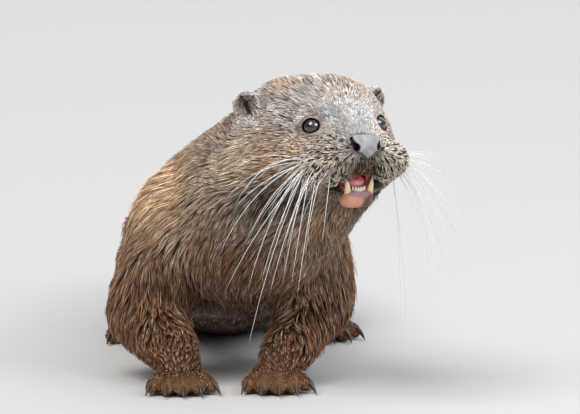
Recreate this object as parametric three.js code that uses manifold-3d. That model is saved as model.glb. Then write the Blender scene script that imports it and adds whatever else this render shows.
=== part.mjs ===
// Eurasian otter (Lutra lutra), life size, as a still museum model.
// It lies on its hindquarters and belly with its chest raised on bent forelegs, its head up and
// turned a little to its left, and its mouth slightly open.
// Millimetres. +X is the way the chest faces, +Y the animal's left, +Z up, and the floor is Z = 0.
// The origin is the middle of the bounding box's underside. The surface is the tips of the coat.
import * as THREE from "three";
import Module from "manifold-3d";
import { mergeVertices } from "three/addons/utils/BufferGeometryUtils.js";

const wasm = await Module();
wasm.setup();

// ---------------------------------------------------------------- driving dimensions

const GAP = 0.35; // between neighbouring pieces
const HALF_GAP = GAP / 2;
const TOLERANCE = 0.3; // a shorter edge is merged away

// Stations down the middle of the body, from the tail's tip to the neck: place and radius.
// The tail, rump and belly sink a little into the floor, which cuts the flats they rest on.
const TAIL = [
  { at: [-800, 150, 6.5], r: 7.5 },
  { at: [-740, 124, 10], r: 11 },
  { at: [-660, 103, 14], r: 15 },
  { at: [-570, 92, 18.5], r: 19.5 },
  { at: [-490, 76, 23.5], r: 25 },
  { at: [-420, 54, 32], r: 33 },
];
const TRUNK = [
  { at: [-362, 38, 45], r: 46 },
  { at: [-300, 27, 56.5], r: 58 },
  { at: [-215, 14, 60.5], r: 62 },
  { at: [-110, 2, 82], r: 59 },
  { at: [-20, 0, 101], r: 60 },
];
const NECK = [
  { at: [12, 14, 121], r: 57 },
  { at: [38, 30, 144], r: 50 },
];
const STATION_STEPS = 4; // bones that run from each station to the next
const NECK_BLEND = 20; // how softly the neck runs into the head

// The head's own frame has X to the nose, Y to the left and Z up.
const HEAD_AT = [71, 42, 159];
const HEAD_TURN = THREE.MathUtils.degToRad(13.5); // to the left of the chest's heading
const HEAD_BLEND = 12;

// The line that the sections stand across runs on from the trunk's stations up the neck, in the
// body's frame, and through the head to behind the nose, in the head's frame.
const NECK_LINE = [
  [-50, 0, 101],
  [-12, 10, 117],
];
const HEAD_LINE = [
  [-52, 0, -21],
  [-30, 0, -8],
  [-6, 0, -1],
  [16, 0, 0],
  [38, 0, 0],
];

const EYE = { at: [27.2, 20.6, 13.6], r: 6.6, looks: [0.72, 0.6, 0.34], sunk: 3.8 };
const EAR = { at: [-29, 42, 22.5], thick: 5.5, wide: 10.5, tall: 9.5, wall: 2.2, turn: 30 };
const NOSE = { at: [63, 0, 4.5], half: [6.5, 11, 8] };
const GAPE = THREE.MathUtils.degToRad(10); // how far the lower jaw is open
const JAW_HINGE = [-18, 0, -14];

// ---------------------------------------------------------------- distance fields

const vec = (p) => new THREE.Vector3(...p);
const mirrored = (p, side) => [p[0], p[1] * side, p[2]];
const both = (make) => [1, -1].map(make); // left, then right

// Signed distance from a ball stretched to three radii.
function ball(centre, radii) {
  const c = vec(centre);
  const r = vec(radii);
  const q = new THREE.Vector3();
  return (p) => {
    q.subVectors(p, c).divide(r);
    const near = q.length();
    const slope = q.divide(r).length();
    return slope < 1e-9 ? -Math.min(...radii) : (near * (near - 1)) / slope;
  };
}

// Signed distance from a bone with a ball of its own radius at each end.
function bone(from, to) {
  const a = vec(from.at);
  const axis = vec(to.at).sub(a);
  const lengthSq = axis.lengthSq();
  const q = new THREE.Vector3();
  return (p) => {
    q.subVectors(p, a);
    const t = THREE.MathUtils.clamp(q.dot(axis) / lengthSq, 0, 1);
    const radius = THREE.MathUtils.lerp(from.r, to.r, t);
    return q.addScaledVector(axis, -t).length() - radius;
  };
}

// The union of some fields with soft creases of about the given width.
function blend(fields, width) {
  return (p) =>
    fields
      .map((f) => f(p))
      .reduce((a, b) => {
        const h = Math.max(width - Math.abs(a - b), 0) / width;
        return Math.min(a, b) - (h * h * width) / 4;
      });
}

// A chain of bones along smooth lines through the stations' places and radii.
function chain(stations) {
  const places = new THREE.CatmullRomCurve3(stations.map((s) => vec(s.at)));
  const radii = new THREE.SplineCurve(stations.map((s, i) => new THREE.Vector2(i, s.r)));
  const count = (stations.length - 1) * STATION_STEPS;
  const ends = Array.from({ length: count + 1 }, (_, i) => ({
    at: places.getPoint(i / count).toArray(),
    r: radii.getPoint(i / count).y,
  }));
  const bones = ends.slice(1).map((end, i) => bone(ends[i], end));
  return (p) => Math.min(...bones.map((b) => b(p)));
}

const skull = blend(
  [
    ...both((s) => ball([-20, 14 * s, 8], [40, 30, 32])), // braincase
    ball([17, 0, 10], [33, 27, 20]), // forehead
    ball([42, 0, 1], [24, 16, 13]), // bridge of the nose
    ball([-22, 0, -14], [34, 34, 26]), // throat
    ...both((s) => ball([-4, 23 * s, -9], [34, 23, 24])), // cheeks
    ...both((s) => ball([44, 16 * s, -6], [20, 16.5, 12.5])), // whisker pads
    ...both((s) => ball([28, 17 * s, -17], [17, 9, 11.5])), // flews over the corners of the mouth
  ],
  HEAD_BLEND,
);

const headFrame = new THREE.Matrix4().makeRotationZ(HEAD_TURN).setPosition(...HEAD_AT);
const intoHead = headFrame.clone().invert();
const inHead = (field) => {
  const q = new THREE.Vector3();
  return (p) => field(q.copy(p).applyMatrix4(intoHead));
};

const bodyField = blend([chain([...TAIL, ...TRUNK, ...NECK]), inHead(skull)], NECK_BLEND);

// ---------------------------------------------------------------- solids

function solid(geometry) {
  const bare = geometry.clone();
  bare.deleteAttribute("normal");
  bare.deleteAttribute("uv");
  const merged = mergeVertices(bare, 1e-4);
  const mesh = new wasm.Mesh({
    numProp: 3,
    vertProperties: merged.attributes.position.array,
    triVerts: new Uint32Array(merged.index.array),
    tolerance: TOLERANCE,
  });
  return new wasm.Manifold(mesh);
}

function geometryOf(manifold) {
  const mesh = manifold.getMesh();
  const geometry = new THREE.BufferGeometry();
  geometry.setAttribute("position", new THREE.BufferAttribute(mesh.vertProperties, mesh.numProp));
  geometry.setIndex(new THREE.BufferAttribute(mesh.triVerts, 1));
  return geometry;
}

const joined = (solids) => solids.reduce((a, b) => a.add(b));
const aboveFloor = (manifold) => manifold.trimByPlane([0, 0, 1], 0);
const largest = (manifold) =>
  manifold.decompose().reduce((a, b) => (a.volume() > b.volume() ? a : b));

// A bone's solid: a cone with a ball at each end, squashed across by `flat` before it is aimed.
function limb(from, to, { sides = 9, steps = 2, grow = 0, flat = 1 } = {}) {
  const axis = vec(to.at).sub(vec(from.at));
  const arc = (r, middle, first) =>
    Array.from({ length: steps + 1 }, (_, i) => {
      const angle = first + ((Math.PI / 2) * i) / steps;
      return new THREE.Vector2(Math.max(r * Math.cos(angle), 0), middle + r * Math.sin(angle));
    });
  const profile = [...arc(from.r + grow, 0, -Math.PI / 2), ...arc(to.r + grow, axis.length(), 0)];
  profile.at(0).x = 0;
  profile.at(-1).x = 0;
  const geometry = new THREE.LatheGeometry(profile, sides);
  const aim = new THREE.Quaternion().setFromUnitVectors(vec([0, 1, 0]), axis.normalize());
  geometry.scale(1, 1, flat).applyQuaternion(aim).translate(...from.at);
  return solid(geometry);
}

const ROUGH = { across: 9, down: 6 }; // faces round and from pole to pole of a hidden egg

// A ball's solid, stretched to three radii.
function egg(centre, radii, { across = 12, down = 8, grow = 0 } = {}) {
  const geometry = new THREE.SphereGeometry(1, across, down);
  geometry.scale(...radii.map((r) => r + grow)).translate(...centre);
  return solid(geometry);
}

// How far from origin, going along direction, the field's surface first lies.
function reach(field, origin, direction, grow) {
  const p = new THREE.Vector3();
  const at = (r) => field(p.copy(origin).addScaledVector(direction, r)) - grow;
  let inside = 0;
  let outside = 0;
  while (at(outside) <= 0) {
    inside = outside;
    outside += Math.max(-0.6 * at(outside), 0.6);
  }
  for (let i = 0; i < 18; i++) {
    const middle = (outside + inside) / 2;
    if (at(middle) > 0) outside = middle;
    else inside = middle;
  }
  return inside;
}

// A closed skin of rings round a path. Each ring lies in the plane across the path, and an end
// that isn't cut flat is rounded off by rings that lean over until they meet on the path's line.
function skinRound(field, path, { from, to, rings, sides, grow = 0, startDome = 0, endDome = 0 }) {
  const ringAt = (share, lean) => {
    const centre = path.getPointAt(share);
    const ahead = path.getTangentAt(share);
    const left = vec([0, 0, 1]).cross(ahead).normalize();
    const up = ahead.clone().cross(left);
    if (Math.abs(Math.cos(lean)) < 1e-6) {
      const pole = ahead.multiplyScalar(Math.sign(lean));
      return [centre.addScaledVector(pole, reach(field, centre, pole, grow))];
    }
    return Array.from({ length: sides }, (_, k) => {
      const angle = (2 * Math.PI * k) / sides;
      const way = left.clone().multiplyScalar(Math.cos(angle)).addScaledVector(up, Math.sin(angle));
      way.multiplyScalar(Math.cos(lean)).addScaledVector(ahead, Math.sin(lean));
      return centre.clone().addScaledVector(way, reach(field, centre, way, grow));
    });
  };
  const quarter = Math.PI / 2;
  const rows = [];
  for (let j = 0; j < startDome; j++) rows.push(ringAt(from, -quarter * (1 - j / startDome)));
  if (!startDome) rows.push([path.getPointAt(from)]);
  for (let j = 0; j <= rings; j++) rows.push(ringAt(from + ((to - from) * j) / rings, 0));
  for (let j = 1; j <= endDome; j++) rows.push(ringAt(to, (quarter * j) / endDome));
  if (!endDome) rows.push([path.getPointAt(to)]);
  return closedRows(rows);
}

// A geometry from rows of points, the first and last of them a single point.
function closedRows(rows) {
  const starts = rows.map((_, j) => rows.slice(0, j).flat().length);
  const index = [];
  for (let j = 0; j + 1 < rows.length; j++) {
    const sides = Math.max(rows[j].length, rows[j + 1].length);
    for (let k = 0; k < sides; k++) {
      const a = starts[j] + (k % rows[j].length);
      const b = starts[j] + ((k + 1) % rows[j].length);
      const c = starts[j + 1] + (k % rows[j + 1].length);
      const d = starts[j + 1] + ((k + 1) % rows[j + 1].length);
      if (a !== b) index.push(a, b, d);
      if (c !== d) index.push(a, d, c);
    }
  }
  const geometry = new THREE.BufferGeometry().setFromPoints(rows.flat());
  geometry.setIndex(index);
  return geometry;
}

// ---------------------------------------------------------------- scene graph

const otter = new THREE.Group();
const headGroup = new THREE.Group();
headGroup.applyMatrix4(headFrame);
otter.add(headGroup);

const finish = (color, roughness) =>
  new THREE.MeshStandardMaterial({ color, roughness, metalness: 0 });
const coat = finish(0x5d4836, 0.75);
const faceCoat = finish(0x857c74, 0.7);
const noseSkin = finish(0x6d6a6c, 0.5);
const eyeGloss = finish(0x120c08, 0.05);
const enamel = finish(0xe6dcc4, 0.3);
const tongueSkin = finish(0xc06a70, 0.35);
const clawHorn = finish(0x3a2f28, 0.4);

function addMesh(group, name, manifold, material) {
  const mesh = new THREE.Mesh(geometryOf(manifold), material);
  mesh.name = name;
  group.add(mesh);
}

// ---------------------------------------------------------------- trunk, neck and tail

const spine = new THREE.CatmullRomCurve3([
  ...[...TAIL, ...TRUNK.slice(0, -1)].map((s) => vec(s.at)),
  ...NECK_LINE.map(vec),
  ...HEAD_LINE.map((p) => vec(p).applyMatrix4(headFrame)),
]);
spine.arcLengthDivisions = 800;

// The share of the spine's length, from the tail's tip, at its point nearest to place.
function shareAt(place) {
  const shares = Array.from({ length: 1601 }, (_, i) => i / 1600);
  const away = (share) => spine.getPointAt(share).distanceToSquared(place);
  return shares.reduce((best, share) => (away(share) < away(best) ? share : best));
}

const CUTS = {
  tailMiddle: shareAt(vec([-655, 103, 14])),
  tailBase: shareAt(vec([-530, 87, 22])),
  rump: shareAt(vec([-396, 44, 39])),
  chest: shareAt(vec([-165, 1, 78])),
  neck: shareAt(vec([-22, 7, 112])),
  head: shareAt(vec([-40, 0, -14]).applyMatrix4(headFrame)),
};
const LENGTHS = {
  tail_tip: { from: 0, to: CUTS.tailMiddle, rings: 5, sides: 10, startDome: 3 },
  tail_middle: { from: CUTS.tailMiddle, to: CUTS.tailBase, rings: 4, sides: 12 },
  tail_base: { from: CUTS.tailBase, to: CUTS.rump, rings: 5, sides: 16 },
  rump: { from: CUTS.rump, to: CUTS.chest, rings: 7, sides: 20 },
  chest: { from: CUTS.chest, to: CUTS.neck, rings: 5, sides: 20 },
  neck: { from: CUTS.neck, to: CUTS.head, rings: 4, sides: 22 },
  head: { from: CUTS.head, to: 1, rings: 8, sides: 24, endDome: 6 },
};

// A length of the body, or with grow the space that others keep clear of.
function bodyLength(name, grow = 0) {
  const length = LENGTHS[name];
  const inset = (HALF_GAP / spine.getLength()) * (grow ? -1 : 1);
  const from = length.startDome ? length.from : length.from + inset;
  const to = length.endDome ? length.to : length.to - inset;
  return aboveFloor(solid(skinRound(bodyField, spine, { ...length, from, to, grow })));
}

for (const name of Object.keys(LENGTHS).filter((n) => n !== "head"))
  addMesh(otter, name, bodyLength(name), coat);

const bodyClearance = joined(["rump", "chest", "neck"].map((name) => bodyLength(name, GAP)));

// ---------------------------------------------------------------- feet

// A webbed foot in its own frame: the heel at the origin, the toes to +X and the sole at Z = 0.
const FOREFOOT = { length: 58, width: 50, height: 19, toe: 5.6, claw: 6.5 };
const HINDFOOT = { length: 84, width: 56, height: 20, toe: 6.0, claw: 6.5 };
const TOE_REACH = [0.84, 0.96, 1, 0.95, 0.82]; // of the foot's length, from the inner toe out
const TOE_SPREAD = [-1, -0.52, 0, 0.52, 1]; // of half the foot's width
const KNUCKLES = { at: 0.46, spread: 0.52 }; // of the foot's length and half width
const TOE = { sides: 5, steps: 1 };
const WEB = { thick: 3, rise: 1.5, reach: 0.8, dip: 0.93 };
const WRIST = { at: 0.3, spread: 0.4 }; // of the foot's length and half width
const PALM = { rise: 0.42, half: [0.32, 0.36, 0.52] }; // of the foot's length, width and height
const CLAW = { back: 0.45, up: 1.1, reach: 1.3, tipRise: 1.6, r: 2.1, tipR: 0.7, flat: 0.75 };

function toeEnds(foot, i) {
  const side = TOE_SPREAD[i];
  const knuckle = [foot.length * KNUCKLES.at, side * KNUCKLES.spread * (foot.width / 2), foot.height / 2];
  const tip = [foot.length * TOE_REACH[i] - foot.toe, side * (foot.width / 2 - foot.toe), foot.toe * 0.85];
  return [
    { at: knuckle, r: foot.toe * 1.15 },
    { at: tip, r: foot.toe },
  ];
}

function webSolid(foot, grow) {
  const edges = TOE_REACH.map((_, i) => {
    const [knuckle, tip] = toeEnds(foot, i).map((end) => vec(end.at));
    return knuckle.lerp(tip, WEB.reach);
  });
  const wrist = { x: foot.length * WRIST.at, y: (foot.width / 2) * WRIST.spread };
  const outline = new THREE.Shape();
  outline.moveTo(wrist.x, -wrist.y);
  edges.forEach((edge, i) => {
    const last = edges[Math.max(i - 1, 0)];
    if (i) outline.lineTo(((edge.x + last.x) / 2) * WEB.dip, (edge.y + last.y) / 2);
    outline.lineTo(edge.x, edge.y);
  });
  outline.lineTo(wrist.x, wrist.y);
  outline.closePath();
  const web = new THREE.ExtrudeGeometry(outline, { depth: WEB.thick + 2 * grow, bevelEnabled: false });
  return solid(web.translate(0, 0, WEB.rise - grow));
}

function footSolid(foot, grow = 0) {
  const size = [foot.length, foot.width, foot.height];
  const middle = [foot.length * WRIST.at, 0, foot.height * PALM.rise];
  const palm = egg(middle, PALM.half.map((share, i) => share * size[i]), { ...ROUGH, grow });
  const toes = TOE_REACH.map((_, i) => limb(...toeEnds(foot, i), { ...TOE, grow }));
  return aboveFloor(joined([palm, webSolid(foot, grow), ...toes]));
}

// A short blunt claw that slants down from the top of a toe's tip.
function clawSolid(foot, i) {
  const [knuckle, tip] = toeEnds(foot, i).map((end) => vec(end.at));
  const ahead = tip.clone().sub(knuckle).setZ(0).normalize();
  const base = tip.clone().addScaledVector(ahead, foot.toe * CLAW.back).setZ(foot.toe * CLAW.up);
  const point = base.clone().addScaledVector(ahead, foot.claw * CLAW.reach).setZ(CLAW.tipRise);
  const ends = [
    { at: base.toArray(), r: CLAW.r },
    { at: point.toArray(), r: CLAW.tipR },
  ];
  const claw = limb(...ends, { sides: 5, steps: 1, flat: CLAW.flat });
  return largest(claw.subtract(limb(...toeEnds(foot, i), { ...TOE, grow: GAP })));
}

// ---------------------------------------------------------------- legs

// Each leg has the bulk of its shoulder or haunch, its bones from there to the wrist or ankle,
// and the place where its foot lies.
const LEGS = {
  foreleg_right: {
    bulk: { at: [-16, -42, 94], half: [40, 33, 44] },
    joints: [
      { at: [-14, -46, 84], r: 31 },
      { at: [-31, -61, 42], r: 29 },
      { at: [27, -46, 18], r: 16 },
    ],
    foot: FOREFOOT,
    heel: [13, -45, 0],
    turn: -4,
  },
  foreleg_left: {
    bulk: { at: [-10, 36, 95], half: [38, 30, 42] },
    joints: [
      { at: [-8, 40, 88], r: 30 },
      { at: [-28, 51, 48], r: 27 },
      { at: [30, 18, 17], r: 16 },
    ],
    foot: FOREFOOT,
    heel: [16, 15, 0],
    turn: -4,
  },
  hindleg_right: {
    bulk: { at: [-248, -16, 54], half: [70, 36, 44] },
    joints: [
      { at: [-236, -26, 54], r: 29 },
      { at: [-204, -36, 47], r: 27 },
      { at: [-226, -38, 17], r: 17 },
    ],
    foot: HINDFOOT,
    heel: [-236, -38, 0],
    turn: -6,
  },
  hindleg_left: {
    bulk: { at: [-246, 58, 54], half: [70, 36, 44] },
    joints: [
      { at: [-234, 62, 54], r: 29 },
      { at: [-200, 66, 47], r: 27 },
      { at: [-222, 66, 17], r: 17 },
    ],
    foot: HINDFOOT,
    heel: [-232, 66, 0],
    turn: 8,
  },
};

for (const [name, leg] of Object.entries(LEGS)) {
  const footGroup = new THREE.Group();
  footGroup.position.set(...leg.heel);
  footGroup.rotation.z = THREE.MathUtils.degToRad(leg.turn);
  footGroup.updateMatrix();
  otter.add(footGroup);

  const bodyFromFoot = bodyClearance.transform(footGroup.matrix.clone().invert().elements);
  const paw = footSolid(leg.foot).subtract(bodyFromFoot);
  addMesh(footGroup, name.replace("leg", "paw"), largest(paw), coat);
  const clawName = `claw_${name.replace("leg", "")}`;
  TOE_REACH.forEach((_, i) =>
    addMesh(footGroup, `${clawName}_${i + 1}`, clawSolid(leg.foot, i), clawHorn),
  );

  const bones = leg.joints.slice(1).map((joint, i) => limb(leg.joints[i], joint, { sides: 8 }));
  const flesh = joined([egg(leg.bulk.at, leg.bulk.half), ...bones]);
  const pawClearance = footSolid(leg.foot, GAP).transform(footGroup.matrix.elements);
  const clear = aboveFloor(flesh.subtract(bodyClearance).subtract(pawClearance));
  addMesh(otter, name, largest(clear), coat);
}

// ---------------------------------------------------------------- head

// The lower jaw and what stands on it are shaped shut and then swung open about the hinge.
const opened = new THREE.Matrix4()
  .makeTranslation(...JAW_HINGE)
  .multiply(new THREE.Matrix4().makeRotationY(GAPE))
  .multiply(new THREE.Matrix4().makeTranslation(...JAW_HINGE.map((v) => -v)));
const swung = (manifold) => manifold.transform(opened.elements);

// A canine narrows from its root to its tip.
const TOOTH = { sides: 5, steps: 1 };
const CANINE = [
  { at: [51.2, 7.5, -14.6], r: 2.3 },
  { at: [52.8, 7.9, -8.5], r: 1.9 },
  { at: [51.8, 9.2, -2.7], r: 0.6 },
];
function canine(s, grow = 0) {
  const [root, bend, tip] = CANINE.map((end) => ({ ...end, at: mirrored(end.at, s) }));
  return limb(root, bend, { ...TOOTH, grow }).add(limb(bend, tip, { ...TOOTH, grow }));
}

// Six incisors stand side by side in a bowed row, in one slot of the gum.
const INCISORS = { x: 53, root: -13.4, tip: -8.3, spacing: 1.55, r: 1.05, bow: 0.22, slotR: 3 };

function incisors() {
  const teeth = [-2.5, -1.5, -0.5, 0.5, 1.5, 2.5].map((n) => {
    const place = [INCISORS.x - INCISORS.bow * n * n, n * INCISORS.spacing];
    const ends = [INCISORS.root, INCISORS.tip].map((z) => ({ at: [...place, z], r: INCISORS.r }));
    return limb(...ends, TOOTH);
  });
  return joined(teeth);
}

function gumSlot() {
  const end = (n) => [INCISORS.x - INCISORS.bow, n * INCISORS.spacing, INCISORS.root];
  return limb(...[-3, 3].map((n) => ({ at: end(n), r: INCISORS.slotR })), { sides: 8, steps: 1 });
}

const lipPocket = [6, -6].map((y) => ({ at: [49.5, y, -16.5], r: 6.6 }));
const palate = (grow = 0) =>
  egg([30, 0, -17], [23, 10.5, 9.5], { grow }).add(limb(...lipPocket, { grow }));
const mouthFloor = egg([27, 0, -8.5], [28, 8.2, 7], ROUGH);
const tongue = (grow = 0) => egg([25, 0, -13.5], [27, 7.6, 4.2], { ...ROUGH, grow });
const nosePad = (grow = 0) => egg(NOSE.at, NOSE.half, { grow });
const eyeball = (s, grow = 0) => egg(mirrored(EYE.at, s), [EYE.r, EYE.r, EYE.r], { down: 7, grow });

// A shallow dish in the face that bares the front of an eyeball.
function eyeDish(s) {
  const r = 2 * EYE.r;
  const middle = vec(EYE.at).addScaledVector(vec(EYE.looks), EYE.sunk + r);
  return egg(mirrored(middle.toArray(), s), [r, r, r], ROUGH);
}

const hollows = [palate(), nosePad(GAP)];
both((s) => hollows.push(eyeball(s, GAP), eyeDish(s)));
const headWhole = bodyLength("head").transform(intoHead.elements);
addMesh(headGroup, "head", largest(headWhole.subtract(joined(hollows))), faceCoat);
addMesh(headGroup, "nose", nosePad(), noseSkin);

const JAW_SIDE = [
  { at: [-2, 14, -20], r: 9 },
  { at: [50.5, 5.4, -17.7], r: 6.3 },
];
const chin = [5.4, -5.4].map((y) => ({ at: [50.5, y, -17.7], r: 6.3 }));
const jawFlesh = joined([
  ...both((s) => limb(...JAW_SIDE.map((end) => ({ ...end, at: mirrored(end.at, s) })), { sides: 8 })),
  egg([22, 0, -19.5], [33, 13, 8], ROUGH),
  limb(...chin),
]);
const jawHollows = [mouthFloor, tongue(GAP), gumSlot()];
both((s) => jawHollows.push(canine(s, GAP)));
const headClearance = bodyLength("head", GAP).transform(intoHead.elements);
const neckClearance = bodyLength("neck", GAP).transform(intoHead.elements);
const clearOfHead = (manifold) => manifold.subtract(headClearance).subtract(neckClearance);
const jaw = clearOfHead(swung(jawFlesh.subtract(joined(jawHollows))));
addMesh(headGroup, "lower_jaw", largest(jaw), faceCoat);

const roof = headClearance.subtract(palate(-GAP));
addMesh(headGroup, "tongue", largest(swung(tongue()).subtract(roof)), tongueSkin);
addMesh(headGroup, "incisors", swung(incisors()), enamel);

// A small round ear, hollowed in front and turned outwards.
function ear(s) {
  const shell = egg([0, 0, 0], [EAR.thick, EAR.wide, EAR.tall], { down: 6 });
  const inner = [2 * EAR.thick - EAR.wall, EAR.wide - EAR.wall, EAR.tall - EAR.wall];
  const cup = egg([EAR.thick, 0, 0], inner, { down: 6 });
  const turned = shell.subtract(cup).rotate([0, 0, EAR.turn * s]);
  return clearOfHead(turned.translate(mirrored(EAR.at, s)));
}

both((s) => {
  const side = s > 0 ? "left" : "right";
  addMesh(headGroup, `canine_${side}`, swung(canine(s)), enamel);
  addMesh(headGroup, `eye_${side}`, eyeball(s), eyeGloss);
  addMesh(headGroup, `ear_${side}`, largest(ear(s)), faceCoat);
});

// ---------------------------------------------------------------- the origin

otter.updateMatrixWorld(true);
const bounds = new THREE.Box3().setFromObject(otter, true);
const middle = bounds.getCenter(new THREE.Vector3());
otter.position.set(-middle.x, -middle.y, -bounds.min.z);

export default otter;
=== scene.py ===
"""The looks of a life-size Eurasian otter: one skin over the flesh, a coat of mesh tufts, eyes, nose,
mouth, claws and whiskers. Shapes are worked out in millimetres and handed to Blender in metres."""

import math

import bpy
import numpy as np
import openvdb as vdb
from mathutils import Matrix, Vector
from mathutils.kdtree import KDTree


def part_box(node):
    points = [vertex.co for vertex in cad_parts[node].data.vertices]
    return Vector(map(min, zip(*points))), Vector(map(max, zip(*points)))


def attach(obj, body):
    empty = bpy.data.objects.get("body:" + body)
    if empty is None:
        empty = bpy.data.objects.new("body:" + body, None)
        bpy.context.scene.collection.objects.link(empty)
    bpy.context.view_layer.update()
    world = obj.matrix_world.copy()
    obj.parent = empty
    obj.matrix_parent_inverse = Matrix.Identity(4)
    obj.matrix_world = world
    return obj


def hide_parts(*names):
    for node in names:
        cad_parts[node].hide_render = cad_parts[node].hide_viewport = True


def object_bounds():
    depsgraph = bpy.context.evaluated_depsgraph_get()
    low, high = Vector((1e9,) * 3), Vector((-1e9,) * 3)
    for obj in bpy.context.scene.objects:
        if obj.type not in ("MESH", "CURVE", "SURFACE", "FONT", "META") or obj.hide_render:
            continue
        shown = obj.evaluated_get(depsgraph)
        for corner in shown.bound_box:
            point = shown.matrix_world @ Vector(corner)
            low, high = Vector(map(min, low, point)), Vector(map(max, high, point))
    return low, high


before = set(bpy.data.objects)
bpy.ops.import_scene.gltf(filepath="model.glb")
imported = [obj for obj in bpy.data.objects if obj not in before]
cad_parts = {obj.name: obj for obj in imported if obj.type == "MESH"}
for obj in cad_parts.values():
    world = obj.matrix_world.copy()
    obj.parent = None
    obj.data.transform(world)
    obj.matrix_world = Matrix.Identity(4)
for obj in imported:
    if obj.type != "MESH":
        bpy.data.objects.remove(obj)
cad_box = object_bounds()

MM = 0.001
rng = np.random.default_rng(20)

# ---- places

UP = np.array([0.0, 0.0, 1.0])
EYE_AT = (27.2, 20.6, 13.6)  # the left eye's centre in the head's frame: X to the nose, Y left, Z up
EYE_R = 6.6
EYE_LOOKS = (0.72, 0.6, 0.34)
SIDES = (("left", 1), ("right", -1))

BODY_NODES = ["tail_tip", "tail_middle", "tail_base", "rump", "chest", "neck"]
LEG_NODES = ["foreleg_left", "foreleg_right", "hindleg_left", "hindleg_right"]
PAW_NODES = ["forepaw_left", "forepaw_right", "hindpaw_left", "hindpaw_right"]
EAR_NODES = ["ear_left", "ear_right"]
HEAD_NODES = ["head", "lower_jaw"]
FLESH = BODY_NODES + LEG_NODES + PAW_NODES + EAR_NODES + HEAD_NODES


def unit(v):
    v = np.asarray(v, float)
    return v / np.maximum(np.linalg.norm(v, axis=-1, keepdims=True), 1e-9)


def in_mm(box):
    """A box's lowest and highest corners, in millimetres."""
    return [np.array(corner) / MM for corner in box]


def spot(node, share=(0, 0, 0)):
    """A place in a node's box, in millimetres: (0, 0, 0) is its middle and (1, 1, 1) its highest corner."""
    low, high = in_mm(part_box(node))
    return (low + high) / 2 + (high - low) / 2 * np.array(share)


LEFT = unit(spot("eye_left") - spot("eye_right"))
AHEAD = unit(np.cross(LEFT, UP))
HEAD_AXES = np.array([AHEAD, LEFT, UP])
HEAD_AT = (spot("eye_left") + spot("eye_right")) / 2 - AHEAD * EYE_AT[0] - UP * EYE_AT[2]


def mirrored(p, side):
    return np.array([p[0], p[1] * side, p[2]], float)


def from_head(p):
    return HEAD_AT + np.asarray(p, float) @ HEAD_AXES


def into_head(p):
    return (np.asarray(p, float) - HEAD_AT) @ HEAD_AXES.T


def smooth(low, high, value):
    t = np.clip((value - low) / (high - low), 0, 1)
    return t * t * (3 - 2 * t)


# ---- fields on grids

CLOSING = 0.5  # gaps between nodes narrower than twice this are closed over
NO_QUADS = np.zeros((0, 4), np.uint32)


class Block:
    """A box of regularly spaced points."""

    def __init__(self, low, high, step):
        self.step = step
        self.start = np.floor(np.array(low) / step).astype(int)
        self.corner = tuple(int(v) for v in self.start)
        self.shape = tuple(np.ceil(np.array(high) / step).astype(int) - self.start + 1)
        self.axes = [(self.start[i] + np.arange(self.shape[i])) * step for i in range(3)]

    def window(self, centre, reach):
        """The slices of the block that lie within reach of centre."""
        first = np.floor((centre - reach) / self.step).astype(int) - self.start
        last = np.ceil((centre + reach) / self.step).astype(int) - self.start + 1
        last = np.maximum(np.minimum(last, self.shape), 0)
        return tuple(slice(a, b) for a, b in zip(np.maximum(first, 0), last))

    def head_coordinates(self, part=(slice(None),) * 3):
        """The points' coordinates in the head's frame, in forms that broadcast together."""
        x, y, z = np.ix_(*(self.axes[i][part[i]] - HEAD_AT[i] for i in range(3)))
        return AHEAD[0] * x + AHEAD[1] * y, LEFT[0] * x + LEFT[1] * y, z


def read(items, key, width):
    """One fact of each item in a mesh's collection, such as a vertex's place."""
    found = np.zeros(len(items) * width, np.float32 if key == "co" else np.int32)
    items.foreach_get(key, found)
    return found.reshape(-1, width)


def polygons_of(*pieces):
    """The pieces' points in millimetres, their triangles, and no quads."""
    points, triangles, count = [], [], 0
    for piece in pieces:
        piece.data.calc_loop_triangles()
        points.append(read(piece.data.vertices, "co", 3) / MM)
        triangles.append(read(piece.data.loop_triangles, "vertices", 3) + count)
        count += len(piece.data.vertices)
    return np.concatenate(points), np.concatenate(triangles).astype(np.uint32), NO_QUADS


def triangles_of(piece):
    """The corners of the piece's triangles."""
    points, triangles, _ = polygons_of(piece)
    return points[triangles]


def level_set(polygons, step, reach):
    points, triangles, quads = polygons
    lattice = vdb.createLinearTransform(voxelSize=step)
    return vdb.FloatGrid.createLevelSetFromPolygons(
        points, triangles=triangles, quads=quads, transform=lattice, halfWidth=reach / step
    )


def values(grid, block):
    found = np.zeros(block.shape, np.float32)
    grid.copyToArray(found, ijk=block.corner)
    return found


def put(grid, field, block, reach):
    """Writes the block's distances into a level set."""
    clipped = np.clip(field, -reach, reach).astype(np.float32)
    grid.copyFromArray(clipped, ijk=block.corner)
    return grid


def grid_of(field, block, reach):
    """A level set from the block's distances."""
    grid = vdb.FloatGrid(reach)
    grid.transform = vdb.createLinearTransform(voxelSize=block.step)
    grid.gridClass = vdb.GridClass.LEVEL_SET
    return put(grid, field, block, reach)


def envelope(nodes, block, reach):
    """How far each of the block's points is from the outer surface of some nodes taken together."""
    pieces = (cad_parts[name] for name in nodes)
    tight = level_set(polygons_of(*pieces), block.step, 3 * block.step)
    shell = tight.convertToPolygons(CLOSING)
    return values(level_set(shell, block.step, reach), block) + CLOSING


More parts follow.
